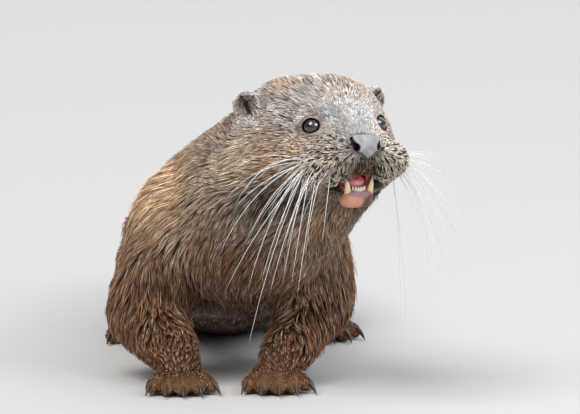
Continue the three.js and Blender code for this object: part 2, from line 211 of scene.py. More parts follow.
def blurred(field, sigma):
    """The field softened by a Gaussian of sigma steps."""
    reach = int(math.ceil(2.5 * sigma))
    offsets = np.arange(-reach, reach + 1)
    weights = np.exp(-0.5 * (offsets / sigma) ** 2)
    weights = (weights / weights.sum()).astype(np.float32)
    for axis in range(3):
        pad = [(reach, reach) if i == axis else (0, 0) for i in range(3)]
        padded = np.pad(field, pad, mode="edge")
        total = np.zeros_like(field)
        for weight, offset in zip(weights, offsets):
            part = [slice(None)] * 3
            part[axis] = slice(reach + offset, reach + offset + field.shape[axis])
            total += weight * padded[tuple(part)]
        field = total
    return field


def soft_min(a, b, width):
    h = np.maximum(width - np.abs(a - b), 0) / width
    return np.minimum(a, b) - h * h * width / 4


def soft_max(a, b, width):
    return -soft_min(-a, -b, width)


def ball(xyz, centre, radii):
    """Roughly the distance from a ball stretched to three radii."""
    q = [(xyz[i] - centre[i]) / radii[i] for i in range(3)]
    near = np.sqrt(q[0] ** 2 + q[1] ** 2 + q[2] ** 2)
    slope = np.sqrt(sum((q[i] / radii[i]) ** 2 for i in range(3)))
    return near * (near - 1) / np.maximum(slope, 1e-6)


def rod(xyz, a, b, ra, rb=None):
    """The distance from a rod with round ends, whose radius runs from ra to rb."""
    a, b = np.array(a, float), np.array(b, float)
    rb = ra if rb is None else rb
    axis = b - a
    q = [xyz[i] - a[i] for i in range(3)]
    t = np.clip(sum(q[i] * axis[i] for i in range(3)) / (axis @ axis), 0, 1)
    return np.sqrt(sum((q[i] - t * axis[i]) ** 2 for i in range(3))) - (ra + (rb - ra) * t)


# ---- the lie of the coat

PALETTE = {
    # the coat's dry tips
    "grey": (230, 222, 216),
    "fog": (203, 204, 207),
    "peach": (240, 206, 176),
    # painted light, for the neck's lit side
    "gold": (230, 192, 148),
    "straw": (255, 228, 192),
    "sand": (204, 164, 126),
    "brown": (150, 108, 73),
    "umber": (132, 90, 58),
    "dark": (46, 31, 20),
    "cream": (255, 236, 214),
    # black locks; on the muzzle's pads they are painted shadow between the whisker follicles
    "black hair and follicle shadow": (46, 34, 26),
    "rust hair": (176, 118, 82),
    "tuft": (126, 103, 76),
    "eye ring": (176, 140, 118),
    # painted shade inside the ears' cups, darkest along a streak
    "ear hollow shade": (150, 132, 116),
    "ear streak shade": (46, 33, 25),
    "ear rim": (235, 236, 240),
    # bare skin
    "lip pink": (206, 144, 118),
    "lip dark": (66, 46, 46),
    "gum": (146, 114, 124),
    "mouth pink": (248, 160, 154),
    # painted shade deep in the mouth, and painted shadow at its corners
    "mouth deep shade": (84, 24, 24),
    "mouth corner shadow": (26, 12, 10),
    "eyelid": (24, 18, 16),
    "nose fold": (98, 88, 84),
    "nose": (166, 163, 168),
    # the nose's random mottle, also used as painted shade low on the pad; then painted shade along its
    # lower edge
    "nose mottle and shade": (132, 126, 130),
    "nose low shade": (64, 54, 52),
    # painted shade in the nostrils
    "nostril": (14, 10, 10),
    "tongue": (250, 168, 166),
    "whisker": (252, 249, 244),
}


def linear(rgb):
    c = np.asarray(rgb, float) / 255
    return np.where(c <= 0.04045, c / 12.92, ((c + 0.055) / 1.055) ** 2.4)


def tone(name):
    return linear(PALETTE[name])


def mix(a, b, share):
    share = np.asarray(share)[:, None]
    return a * (1 - share) + b * share


def dyed(colours, name, share):
    """Colours taken some share of the way to one of the palette's."""
    return mix(colours, tone(name), share)


# What the coat is like at some places: which way it lies, its hairs' length and width, its depth, its
# colour, and the share of black locks in it. On the muzzle's pads those black locks are painted shadow
# between the whisker follicles.
GUIDES = {"place": [], "lie": [], "length": [], "width": [], "depth": [], "colour": [], "pepper": []}


def guide(place, lie, length, width, depth, colour, pepper=0.0):
    for fact, value in zip(GUIDES, (place, unit(lie), length, width, depth, tone(colour), pepper)):
        GUIDES[fact].append(value)


# Place and lie in the head's frame, then the rest. A row off the middle stands for both sides.
HEAD_COAT = [
    ((50, 0, 14), (-1, 0, 0.2), 2.2, 0.42, 0.7, "fog"),
    ((58, 7, 9), (-1, 0.3, 0.2), 1.8, 0.45, 0.5, "fog"),
    ((24, 0, 32), (-1, 0, 0.1), 5.6, 0.5, 1.3, "grey", 0.1),
    ((38, 10, 20), (-1, 0.1, 0.2), 2.6, 0.42, 0.8, "fog"),
    ((30, 14, 24), (-1, 0.1, 0.2), 3.2, 0.45, 1.0, "fog"),
    ((27, 25, 15), (-1, 0.3, -0.1), 2.6, 0.5, 0.9, "grey"),
    ((24, 25, 5), (-1, 0.3, -0.3), 3, 0.55, 1.0, "cream"),
    ((36, 19, 6), (-1, 0.35, -0.15), 2.6, 0.5, 0.8, "cream"),
    ((14, 27, 16), (-1, 0.3, 0), 5.6, 0.6, 1.7, "grey", 0.1),
    ((8, 22, 32), (-1, 0.25, 0), 9, 0.62, 2.2, "grey", 0.14),
    ((-12, 0, 42), (-1, 0, 0), 11, 0.68, 2.8, "grey", 0.16),
    ((-12, 26, 34), (-1, 0.15, -0.05), 10.5, 0.68, 2.8, "peach", 0.15),
    ((-42, 0, 34), (-1, 0, -0.2), 13, 0.85, 5, "brown", 0.05),
    # the pads' share of black locks is painted shadow between the whisker follicles
    ((52, 14, 4), (-0.7, 0.7, -0.1), 3, 0.6, 0.8, "cream", 0.18),
    ((44, 22, 0), (-0.7, 0.7, -0.3), 3.4, 0.65, 0.9, "cream", 0.26),
    ((52, 16, -7), (-0.45, 0.6, -0.7), 4, 0.7, 1, "cream", 0.36),
    ((46, 20, -10), (-0.45, 0.5, -0.8), 4, 0.7, 1, "cream", 0.34),
    ((44, 18, -14.5), (-0.2, 0.3, -1), 5.4, 0.6, 1.2, "cream", 0.08),
    ((38, 24, -8), (-0.6, 0.5, -0.6), 4.4, 0.7, 1.1, "cream", 0.3),
    ((34, 23, -13.5), (-0.3, 0.3, -1), 5.4, 0.6, 1.2, "peach", 0.08),
    ((56, 10, -9), (-0.2, 0.5, -0.9), 3.8, 0.65, 0.9, "cream", 0.34),
    ((63, 0, -7), (-0.1, 0, -1), 4, 0.5, 0.8, "dark", 0.3),
    ((62, 3.5, -10), (-0.1, 0.1, -1), 4, 0.5, 0.8, "dark", 0.3),
    # painted shadow: the dark coat under the pad and behind the mouth's corner
    ((30, 25, -20), (-0.7, 0.2, -0.7), 6, 0.6, 1.8, "dark"),
    ((42, 15, -21), (-0.6, 0.4, -0.7), 4, 0.55, 1, "dark"),
    ((20, 29, -24), (-0.8, 0.2, -0.6), 8, 0.65, 2.4, "dark", 0.2),
    ((26, 30, -3), (-0.9, 0.4, -0.3), 5.5, 0.6, 1.8, "sand", 0.12),
    ((8, 36, 2), (-1, 0.2, -0.15), 8, 0.7, 3.2, "peach", 0.08),
    ((8, 36, -10), (-1, 0.2, -0.3), 10, 0.75, 3.8, "sand", 0.06),
    ((-16, 44, -6), (-1, 0.1, -0.25), 14, 0.75, 5, "straw", 0.08),
    # painted shadow: the dark coat under the jaw and the cheek
    ((-6, 34, -30), (-0.8, 0.1, -0.7), 13, 0.8, 5, "dark"),
    ((14, 26, -28), (-0.8, 0.2, -0.6), 9, 0.7, 3, "dark", 0.2),
    ((42, 0, -37), (-1, 0, -0.3), 3.4, 0.55, 0.8, "umber"),
    ((46, 9, -34), (-0.9, 0.3, -0.4), 3.4, 0.55, 0.8, "umber"),
    ((0, 0, -42), (-0.9, 0, -0.5), 11, 0.8, 4, "sand"),
    ((-20, 36, 13), (-0.6, 0.3, -0.7), 4, 0.55, 1.3, "grey"),
    ((-16, 33, 28), (-1, 0.3, 0), 4, 0.55, 1.4, "grey"),
    ((-25, 36, 22), (-0.4, 0.2, 0.5), 2.2, 0.45, 0.5, "grey"),
    ((-31, 47, 22), (-0.3, 0.2, 0.9), 2.2, 0.45, 0.5, "grey"),
    ((-40, 40, 24), (-0.8, 0, 0.4), 3, 0.5, 0.8, "brown"),
    ((-46, 36, 10), (-1, 0.1, -0.3), 13, 0.85, 5, "brown"),
]
# Node, place in its box and lie in the frame, then the rest.
BODY_COAT = [
    ("neck", (-0.5, 0, 1), (-0.9, -0.1, -0.45), 20, 0.8, 6, "brown", 0.04),
    # painted light: the neck's right side, which faces the key light, is golden and lighter than its left
    ("neck", (0, -1, 0.2), (-0.6, -0.35, -0.7), 21, 0.8, 6, "gold"),
    ("neck", (0, 1, 0.2), (-0.7, 0.3, -0.7), 21, 0.8, 6, "brown"),
    ("neck", (0.8, -0.4, -0.5), (-0.3, -0.3, -0.9), 19, 0.8, 6, "umber"),
    ("neck", (0.9, 0.2, -0.9), (-0.4, 0, -0.9), 18, 0.8, 6, "umber", 0.1),
    ("chest", (0, 0, 1), (-1, 0, -0.15), 22, 1.05, 6.5, "brown", 0.03),
    ("chest", (0, -1, 0), (-0.9, -0.1, -0.45), 22, 1.05, 6.5, "umber"),
    ("chest", (0, 1, 0), (-0.9, 0.1, -0.45), 22, 1.05, 6.5, "umber"),
    ("chest", (0.9, 0, -0.6), (-0.4, 0, -0.9), 19, 0.95, 6, "umber", 0.1),
    # painted shade: the dark coat low on the chest and under the belly, between the forelegs
    ("chest", (0.9, 0, -1), (-0.5, 0, -0.8), 17, 0.95, 5.5, "dark"),
    ("chest", (0, 0, -1), (-1, 0, -0.1), 16, 1.1, 5, "dark"),
    ("rump", (0.4, 0, 1), (-1, 0, -0.1), 22, 1.2, 6.5, "brown", 0.03),
    ("rump", (-0.5, 0, 0.9), (-1, 0, -0.25), 22, 1.2, 6.5, "umber"),
    ("rump", (0, -1, 0), (-0.95, 0, -0.3), 21, 1.2, 6, "umber"),
    ("rump", (0, 1, 0), (-0.95, 0, -0.3), 21, 1.2, 6, "umber"),
    ("rump", (0, 0, -1), (-1, 0, 0), 14, 1.2, 4, "brown"),
    ("tail_base", (0, 0, 0), (-1, 0.16, -0.1), 17, 1.1, 5, "umber"),
    ("tail_middle", (0, 0, 0), (-1, 0.12, -0.05), 13, 1.05, 4, "umber"),
    ("tail_tip", (0, 0, 0), (-1, 0.35, -0.05), 10, 0.95, 3, "umber"),
]
for side, s in SIDES:
    BODY_COAT += [
        (f"foreleg_{side}", (0, s, 0.6), (-0.5, 0.15 * s, -0.85), 20, 0.85, 6, "brown"),
        (f"foreleg_{side}", (-0.6, 0.9 * s, -0.2), (-0.25, 0, -1), 18, 0.85, 5.5, "umber"),
        (f"foreleg_{side}", (0.5, 0.2, -0.3), (0.2, 0, -1), 13, 0.9, 4.5, "umber"),
        (f"foreleg_{side}", (0.8, 0.3, -0.8), (0.8, 0, -0.6), 7, 0.75, 2.5, "umber"),
        (f"hindleg_{side}", (-0.6, s, 0.4), (-0.6, 0, -0.7), 18, 1.15, 5.5, "umber"),
        (f"hindleg_{side}", (0.6, s, 0.2), (-0.2, 0, -1), 15, 1.1, 5, "umber"),
        (f"hindleg_{side}", (0.2, s, -0.8), (0.5, 0, -0.6), 8, 0.85, 3, "umber"),
    ]
    for end in ("fore", "hind"):
        BODY_COAT += [
            (f"{end}paw_{side}", (-0.5, 0, 0.8), (1, 0, -0.2), 4.5, 0.6, 1.3, "umber"),
            (f"{end}paw_{side}", (0.6, 0, 0.2), (1, 0, -0.3), 3, 0.5, 0.8, "brown"),
        ]
for place, lie, *coat in HEAD_COAT:
    for s in (1, -1) if place[1] else (1,):
        guide(from_head(mirrored(place, s)), mirrored(lie, s) @ HEAD_AXES, *coat)
for node, share, lie, *coat in BODY_COAT:
    guide(spot(node, share), lie, *coat)

GUIDE_SOFTNESS = 9.0  # mm


def guided(points, *facts):
    """Facts about the coat at some points, blended from the guides near them."""
    places = np.array(GUIDES["place"]).astype(np.float32)
    tables = [np.array(GUIDES[fact], np.float32).reshape(len(places), -1) for fact in facts]
    joined = np.concatenate(tables, axis=1)
    found = np.zeros((len(points), joined.shape[1]), np.float32)
    for first in range(0, len(points), 50000):
        some = np.asarray(points[first:first + 50000], np.float32)
        squares = ((some[:, None, :] - places[None]) ** 2).sum(2)
        weights = (squares + GUIDE_SOFTNESS**2) ** -2
        found[first:first + 50000] = (weights @ joined) / weights.sum(1, keepdims=True)
    ends = np.cumsum([t.shape[1] for t in tables])[:-1]
    return [part if part.shape[1] > 1 else part[:, 0] for part in np.split(found, ends, axis=1)]


def coat_depth(block, stride):
    """The coat's depth on the block, worked out on a sparse lattice and filled in between."""
    lines, shares = [], []
    for axis in block.axes:
        line = np.linspace(axis[0], axis[-1], max(int((axis[-1] - axis[0]) / stride), 1) + 1)
        at = np.clip((axis - line[0]) / (line[1] - line[0]), 0, len(line) - 1.001)
        share = np.zeros((len(axis), len(line)), np.float32)
        share[np.arange(len(axis)), at.astype(int)] = 1 - at % 1
        share[np.arange(len(axis)), at.astype(int) + 1] += at % 1
        lines.append(line)
        shares.append(share)
    lattice = np.stack(np.meshgrid(*lines, indexing="ij"), -1)
    found = guided(lattice.reshape(-1, 3), "depth")[0].reshape(lattice.shape[:3])
    for i in range(3):
        found = np.moveaxis(np.tensordot(shares[i], found, axes=(1, i)), 0, i)
    return found


# ---- ears and eyes, in the head's frame

EAR_AT, EAR_TURN = (-29, 42, 22.5), math.radians(30)
EAR_CUP = {"centre": (5.5, 0, 0), "radii": (8.8, 8.3, 7.3)}
EAR_VIEW = [(11.5, -3.5, 0), (40, -3.5, 1)]  # the middle of the way that is cleared in front of an ear
EAR_VIEW_R = 11.5
LID = {"inner": 6.75, "outer": 7.9, "half_width": 5.6, "half_height": 4.5}
EYE_BARE = 7.75  # no hair grows this near to an eye's centre
EYE_VIEW = (6.4, 5.6)  # half the width and height in front of an eye that hair stays out of


def turned(x, y, angle):
    """A place on a plane, in axes turned by an angle."""
    c, s = math.cos(angle), math.sin(angle)
    return x * c + y * s, y * c - x * s


def into_ear(q, s):
    """Places in an ear's own axes: out of its opening, across it from its inner to its outer edge, up."""
    away = (np.asarray(q, float) - mirrored(EAR_AT, s)) * (1, s, 1)
    return np.stack([*turned(away[:, 0], away[:, 1], EAR_TURN), away[:, 2]], 1)


def from_ear(e, s):
    return mirrored(np.array(EAR_AT) + (*turned(e[0], e[1], -EAR_TURN), e[2]), s)


def eye_axes(s):
    """The way an eye looks, the way its lids run, and the way from the lower lid to the upper."""
    looks = unit(mirrored(EYE_LOOKS, s))
    along = unit(np.cross(UP, looks)) + np.array([0, 0, -0.12 * s])
    along = unit(along - looks * (along @ looks))
    return looks, along, np.cross(looks, along)


def past_lids(q, s):
    """How far places are ahead of an eye's centre, and how far outside its opening."""
    depth, across, rise = ((q - mirrored(EYE_AT, s)) @ axis for axis in eye_axes(s))
    return depth, np.hypot(across / LID["half_width"], rise / LID["half_height"]) - 1


def coat_colours(points):
    """The coat's colour: the guides' colours, with the tuft under the nose, the eye rings, and the ears'
    lighter rims and the painted shade in their cups.
    """
    (colour,) = guided(points, "colour")
    q = into_head(points)
    tuft = smooth(1.25, 0.75, np.hypot(q[:, 1] / 8, (q[:, 2] + 8.5) / 6.5)) * (q[:, 0] > 50)
    colour = dyed(colour, "tuft", tuft)
    for s in (1, -1):
        depth, opening = past_lids(q, s)
        colour = dyed(colour, "eye ring", 0.55 * smooth(1.0, 0.5, opening) * (depth > 0))
        e = into_ear(q, s)
        cup = ball(e.T, **EAR_CUP)
        inside = smooth(1.2, 0.2, cup) * (e[:, 0] < 4)
        streak = smooth(2.8, 1.0, np.abs(e[:, 1] - 0.54 * e[:, 2] - 0.8))
        # painted shade inside the ear's cup, darkest along a diagonal streak
        colour = dyed(colour, "ear hollow shade", 0.7 * inside)
        colour = dyed(colour, "ear streak shade", 0.95 * inside * streak)
        rim = smooth(2.6, 1.0, np.abs(cup)) * smooth(-1.5, 0.5, e[:, 0]) * (e[:, 2] > -4)
        colour = dyed(colour, "ear rim", 0.8 * rim * (e[:, 0] < 5) * (1 - inside))
    return colour


def waves(points, wavelength, seed):
    """A smooth wandering value for each point, mostly between -1 and 1."""
    random = np.random.default_rng(seed)
    total = np.zeros(len(points))
    for _ in range(5):
        way = unit(random.normal(size=3)) * 2 * math.pi / wavelength * random.uniform(0.6, 1.5)
        total += np.sin(points @ way + random.uniform(0, 2 * math.pi))
    return total / 2.4


# ---- the mouth, in the head's frame

GAPE = math.radians(10)
JAW_HINGE = np.array([-18.0, 0.0, -14.0])
PALATE = {"centre": (30, 0, -17), "radii": (23, 10.5, 9.5)}
LIP_POCKET = {"a": (49.5, -6, -16.5), "b": (49.5, 6, -16.5), "ra": 6.6}


def opened(p):
    """A place on the shut lower jaw, once the jaw is swung open."""
    q = np.asarray(p, float) - JAW_HINGE
    x, z = turned(q[..., 0], q[..., 2], GAPE)
    return np.stack([x, q[..., 1], z], -1) + JAW_HINGE


def mouth_field(xyz):
    """The distance from the hollow of the mouth."""
    low = rod(xyz, opened((6, 0, -8.5)), opened((48, 0, -8.5)), 8.0)
    found = np.minimum(np.minimum(ball(xyz, **PALATE), rod(xyz, **LIP_POCKET)), low)
    for s in (1, -1):
        corner = rod(xyz, (46, 12 * s, -19), (31, 25 * s, -18), 5.0, 3.8)
        found = soft_min(found, corner, 2.0)
    return found


# ---- skin

FINE = 0.75  # millimetres between the points of the head's and the paws' blocks
COARSE = 2.0  # and of the whole body's
BAND = 3 * FINE  # how far from the skin its field is kept
SOLE = 0.3  # the height of the skin's lowest points
BLUR = {"body": 2.0, "head": 1.9, "paw": 1.1, "ear": 0.8}  # in steps of the block
NECK_JOIN = (-42, -30)  # where the body's skin gives way to the head's, ahead in the head's frame
# painted shade under the coat: the skin is darkened beside it, the more where the coat is long
SKIN_SHADE = 0.34  # how dark the skin is beside the coat over it, where that is long


def skin_grid():
    """The skin of the body, with the head's and the paws' finer shapes written over it."""
    low, high = in_mm(cad_box)
    whole = Block(low - 14, high + 14, COARSE)
    body = envelope(BODY_NODES + LEG_NODES + HEAD_NODES, whole, 16.0)
    body = blurred(body, BLUR["body"]) + coat_depth(whole, 10.0)
    grid = level_set(grid_of(body, whole, 3 * COARSE).convertToPolygons(0), FINE, BAND)

    low, high = in_mm(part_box("head"))
    block = Block(low - 12, high + (8, 8, 6), FINE)
    head = np.clip(head_field(block), -BAND, BAND)
    behind = smooth(*NECK_JOIN, block.head_coordinates()[0])
    joined = values(grid, block) * (1 - behind) + head * behind
    for name in EAR_NODES:
        add_ear(joined, block, name)
    put(grid, joined, block, BAND)

    for paw, leg in zip(PAW_NODES, LEG_NODES):
        low, high = in_mm(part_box(paw))
        block = Block(low - 8, high + (8, 8, 16), FINE)
        foot = blurred(envelope([paw, leg], block, 8.0), BLUR["paw"]) + coat_depth(block, 5.0)
        foot = foot + 4 * smooth(high[2] + 2, high[2] + 12, block.axes[2])
        put(grid, soft_min(np.clip(foot, -BAND, BAND), values(grid, block), 2.0), block, BAND)
    return grid


def add_ear(field, block, name):
    part = block.window(spot(name), 24)
    ends = [axis[span][[0, -1]] for axis, span in zip(block.axes, part)]
    local = Block(*np.transpose(ends), FINE)
    ear = blurred(envelope([name], local, 4.0), BLUR["ear"]) + 0.15
    inner = field[part]
    field[part] = soft_min(inner, ear[tuple(slice(n) for n in inner.shape)], 2.5)


def head_field(block):
    """The head's skin: its envelope softened and thinned by the coat, then its eyelids, lips and gums."""
    solid = envelope(HEAD_NODES + ["nose", "neck", "eye_left", "eye_right"], block, 7.0)
    xyz = block.head_coordinates()
    mouth = mouth_field(xyz)
    field = blurred(solid, BLUR["head"]) + coat_depth(block, 5.0) * smooth(0.5, 5.0, mouth)
    for s in (1, -1):
        pad = soft_max(ball(xyz, (43, 16.5 * s, -6), (20, 18, 12.4)), 0.6 - mouth, 2.0)
        field = soft_min(field, pad, 4.0)
    pocket = np.maximum(nose_edge(xyz) + 0.9, 60 - xyz[0])
    field = soft_max(field, -pocket, 0.8)
    for s in (1, -1):
        view = rod(xyz, *(from_ear(e, s) for e in EAR_VIEW), EAR_VIEW_R)
        field = soft_max(field, -view, 3.5)
    gum = rod(xyz, opened((51.4, -6, -14.5)), opened((51.4, 6, -14.5)), 3.6)
    for s in (1, -1):
        gum = np.minimum(gum, rod(xyz, opened((50, 6.8 * s, -15.4)), opened((26, 11 * s, -14.6)), 3.4))
    field = soft_min(field, gum, 2.0)
    for s in (1, -1):
        add_eyelids(field, block, s)
    return field


def add_eyelids(field, block, s):
    centre = mirrored(EYE_AT, s)
    part = block.window(from_head(centre), 15)
    xyz = block.head_coordinates(part)
    q = [xyz[i] - centre[i] for i in range(3)]
    depth, across, rise = (sum(q[i] * axis[i] for i in range(3)) for axis in eye_axes(s))
    away = np.sqrt(q[0] ** 2 + q[1] ** 2 + q[2] ** 2)
    socket = soft_max(field[part], LID["inner"] - away, 0.4)
    lids = np.maximum(away - LID["outer"], LID["inner"] - away)
    joined = soft_min(socket, np.maximum(lids, 1.0 - depth), 1.6)
    opening = np.sqrt((across / LID["half_width"]) ** 2 + (rise / LID["half_height"]) ** 2) - 1
    opening = np.maximum(opening * LID["half_height"], 1.0 - depth)
    joined = soft_max(joined, -opening, 0.7)
    field[part] = np.maximum(joined, LID["inner"] - away)


def placed(name, data):
    thing = bpy.data.objects.new(name, data)
    bpy.context.scene.collection.objects.link(thing)
    return thing


def mesh_from(name, points, faces):
    """A Blender object from points in millimetres and arrays of faces with three or four corners."""
    mesh = bpy.data.meshes.new(name)
    corners = np.concatenate([f.ravel() for f in faces]).astype(np.int32)
    sizes = np.concatenate([np.full(len(f), f.shape[1], np.int32) for f in faces])
    mesh.vertices.add(len(points))
    mesh.vertices.foreach_set("co", (np.asarray(points) * MM).astype(np.float32).ravel())
    mesh.loops.add(len(corners))
    mesh.loops.foreach_set("vertex_index", corners)
    mesh.polygons.add(len(sizes))
    starts = np.concatenate([[0], np.cumsum(sizes)[:-1]]).astype(np.int32)
    mesh.polygons.foreach_set("loop_start", starts)
    mesh.update(calc_edges=True)
    mesh.shade_smooth()
    return placed(name, mesh)


def give(piece, name, facts):
    """Stores a number or a colour for each of the piece's points."""
    kind, key = ("FLOAT_COLOR", "color") if facts.ndim == 2 else ("FLOAT", "value")
    if facts.ndim == 2:
        facts = np.insert(facts, 3, 1, axis=1)
    attribute = piece.data.attributes.new(name, kind, "POINT")
    attribute.data.foreach_set(key, facts.astype(np.float32).ravel())


def settle(piece, finish, slot, *nodes):
    """Gives a piece its material and its body, and hides the nodes that it stands for. The slot is not
    used.
    """
    piece.data.materials.append(finish)
    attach(piece, "root")
    if nodes:
        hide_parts(*nodes)


def skin_colours(points):
    """The skin's colour, with painted shade under the coat and inside the mouth, and how wet it is."""
    (length,) = guided(points, "length")
    # painted shade: the skin takes the coat's colour, darkened beneath it
    colour = coat_colours(points) * (SKIN_SHADE + 0.34 * smooth(6, 2.6, length))[:, None]
    q = into_head(points)
    wide = np.abs(q[:, 1])
    near_mouth = smooth(1.6, 0.2, mouth_field(q.T)) * (q[:, 0] > 0)
    # painted shade: the mouth's lining darkens towards its back and its sides, and is near black at its
    # corners
    inside = dyed(tone("mouth deep shade"), "mouth pink", smooth(18, 46, q[:, 0]) * smooth(10.5, 7.5, wide))
    inside = dyed(inside, "mouth corner shadow", smooth(9.5, 12, wide))
    colour = mix(colour, inside, near_mouth)
    colour = dyed(colour, "nose fold", smooth(1.8, 0.5, np.maximum(nose_edge(q.T), 56 - q[:, 0])))
    lip = smooth(1.2, -0.8, ball(q.T, opened((52, 0, -20)), (9.5, 15.5, 7.8)))
    blotch = 0.5 * waves(q, 7.0, 11) + 2.2 * smooth(-1, 6, q[:, 1]) + 1.2 * smooth(8, 12, wide)
    colour = mix(colour, dyed(tone("lip pink"), "lip dark", 0.9 * smooth(0.0, 2.0, blotch)), lip)
    colour = dyed(colour, "gum", smooth(0.6, -0.5, ball(q.T, opened((50.5, 0, -12.8)), (7, 9.5, 3.2))))
    wet = np.maximum(near_mouth * (1 - 0.9 * smooth(9, 12, wide)), 0.6 * lip)
    for s in (1, -1):
        depth, opening = past_lids(q, s)
        rim = smooth(0.22, 0.08, opening) * (depth > 0)
        colour = dyed(colour, "eyelid", rim)
        wet = np.maximum(wet, rim * 0.5)
    return colour, wet


def make_skin():
    points, triangles, quads = skin_grid().convertToPolygons(0, 0.03)
    points = points.astype(float)
    points[:, 2] = np.maximum(points[:, 2], SOLE)
    piece = mesh_from("skin", points, [triangles[:, ::-1], quads[:, ::-1]])
    colour, wet = skin_colours(points)
    give(piece, "tint", colour)
    give(piece, "wet", wet)
    settle(piece, skin_material(), "body_coat", *FLESH)
    return piece


# ---- materials


class Nodes:
    """A material's nodes, made and joined in short calls."""

    def __init__(self, name):
        self.material = bpy.data.materials.new(name)
        self.material.use_nodes = True
        self.tree = self.material.node_tree

    def put(self, node, values):
        """Sets a node's sockets, or joins them to other nodes' outputs."""
        for key, value in values.items():
            if isinstance(value, bpy.types.NodeSocket):
                self.tree.links.new(value, node.inputs[key])
            else:
                node.inputs[key].default_value = value
        return node

    def add(self, kind, values, **settings):
        node = self.tree.nodes.new(kind)
        for key, value in settings.items():
            setattr(node, key, value)
        return self.put(node, values)

    def shade(self, **values):
        values = {key.replace("_", " "): value for key, value in values.items()}
        self.put(self.tree.nodes["Principled BSDF"], values)

    def noise(self, scale, detail=3.0, kind="Noise", output="Fac"):
        place = self.add("ShaderNodeTexCoord", {}).outputs["Object"]
        links = {"Vector": place, "Scale": scale, "Detail": detail}
        return self.add(f"ShaderNodeTex{kind}", links).outputs[output]

    def ramp(self, factor, low, high):
        node = self.add("ShaderNodeMapRange", {"Value": factor, "To Min": low, "To Max": high})
        return node.outputs["Result"]

    def colour(self, base, scale, low, high):
        """The base colour, lighter and darker with a noise."""
        mottle = self.ramp(self.noise(scale), low, high)
        node = self.add("ShaderNodeVectorMath", {0: base, 1: mottle}, operation="MULTIPLY")
        self.shade(Base_Color=node.outputs[0])

    def bump(self, height, strength, distance):
        links = {"Height": height, "Strength": strength, "Distance": distance}
        self.shade(Normal=self.add("ShaderNodeBump", links).outputs["Normal"])

    def fact(self, name, output="Fac"):
        return self.add("ShaderNodeAttribute", {}, attribute_name=name).outputs[output]


def material(name, colour, rough, bump=None, base=None, **values):
    """A material with mottled colour and roughness. Each is a noise's scale and its range. The bump is
    its strength, its depth in metres and its noise."""
    m = Nodes(name)
    m.colour((*tone(base),) if base else m.fact("tint", "Color"), *colour)
    m.shade(Roughness=m.ramp(m.noise(rough[0]), *rough[1:]), **values)
    if bump:
        strength, distance, *noise = bump
        m.bump(m.noise(*noise), strength, distance)
    return m.material


def skin_material():
    m = Nodes("skin")
    m.colour(m.fact("tint", "Color"), 220.0, 0.75, 1.25)
    m.shade(Roughness=m.ramp(m.fact("wet"), 0.75, 0.22), Specular_IOR_Level=0.28)
    m.bump(m.noise(900.0, 4.0), 0.5, 0.0006)
    return m.material


# ---- tapered hairs


def walls(rings, size):
    """The faces between one ring and the next, where each has so many points."""
    here = np.arange((rings - 1) * size)
    after = here - here % size + (here + 1) % size
    return np.stack([here, after, after + size, here + size], 1)


def fan(start, size, pole):
    """The faces from a ring to a pole."""
    here = np.arange(size)
    return np.stack([start + here, start + (here + 1) % size, np.full(size, pole)], 1)


def tapered(paths, up, width, height, sides):
    """Points and faces of closed hairs that run along paths to a point, and how far along and around
    each point is. The half heights are measured towards up, and the half widths across it."""
    count, places = paths.shape[:2]
    way = unit(np.gradient(paths, axis=1))
    across = unit(np.cross(up, way))
    over = np.cross(way, across)
    angles = math.pi / 2 + 2 * math.pi * np.arange(sides) / sides
    c, s = np.cos(angles)[None, None, :, None], np.sin(angles)[None, None, :, None]
    rings = (
        paths[:, :-1, None]
        + across[:, :-1, None] * width[:, :-1, None, None] * c
        + over[:, :-1, None] * height[:, :-1, None, None] * s
    )
    points = np.concatenate([rings.reshape(count, -1, 3), paths[:, -1:]], axis=1)
    last = (places - 2) * sides
    one = [walls(places - 1, sides), fan(last, sides, last + sides), np.arange(sides)[::-1][None]]
    starts = (np.arange(count) * points.shape[1])[:, None, None]
    faces = [(f[None] + starts).reshape(-1, f.shape[1]) for f in one]
    along = np.append(np.repeat(np.linspace(0, 1, places)[:-1], sides), 1)
    around = np.append(np.tile(np.arange(sides) / sides, places - 1), 0.5)
    shape = (count, points.shape[1])
    return points.reshape(-1, 3), faces, np.broadcast_to(along, shape), np.broadcast_to(around, shape)


# ---- where the coat grows


CELL = 1.18  # the side of a cell that keeps one point, in spacings


def strewn(triangles, spacing_of, overfill=2.2):
    """Points strewn evenly over triangles, about spacing_of(point) apart."""
    middles = triangles.mean(1)
    normals = np.cross(triangles[:, 1] - triangles[:, 0], triangles[:, 2] - triangles[:, 0])
    wanted = 0.5 * np.linalg.norm(normals, axis=1) / spacing_of(middles) ** 2
    total = wanted.sum() * overfill
    picked = np.searchsorted(np.cumsum(wanted) / wanted.sum(), rng.random(int(total)))
    picked = np.minimum(picked, len(triangles) - 1)
    a, b = np.sqrt(rng.random(len(picked)))[:, None], rng.random(len(picked))[:, None]
    corners = triangles[picked]
    points = corners[:, 0] * (1 - a) + corners[:, 1] * a * (1 - b) + corners[:, 2] * a * b
    cell = CELL * spacing_of(points)
    steps = 2.0 ** (np.round(np.log2(cell) * 4) / 4)
    keys = np.floor(points / steps[:, None]).astype(np.int64)
    keys = np.concatenate([keys, np.round(steps * 1000).astype(np.int64)[:, None]], axis=1)
    _, first = np.unique(keys, axis=0, return_index=True)
    return points[np.sort(first)]


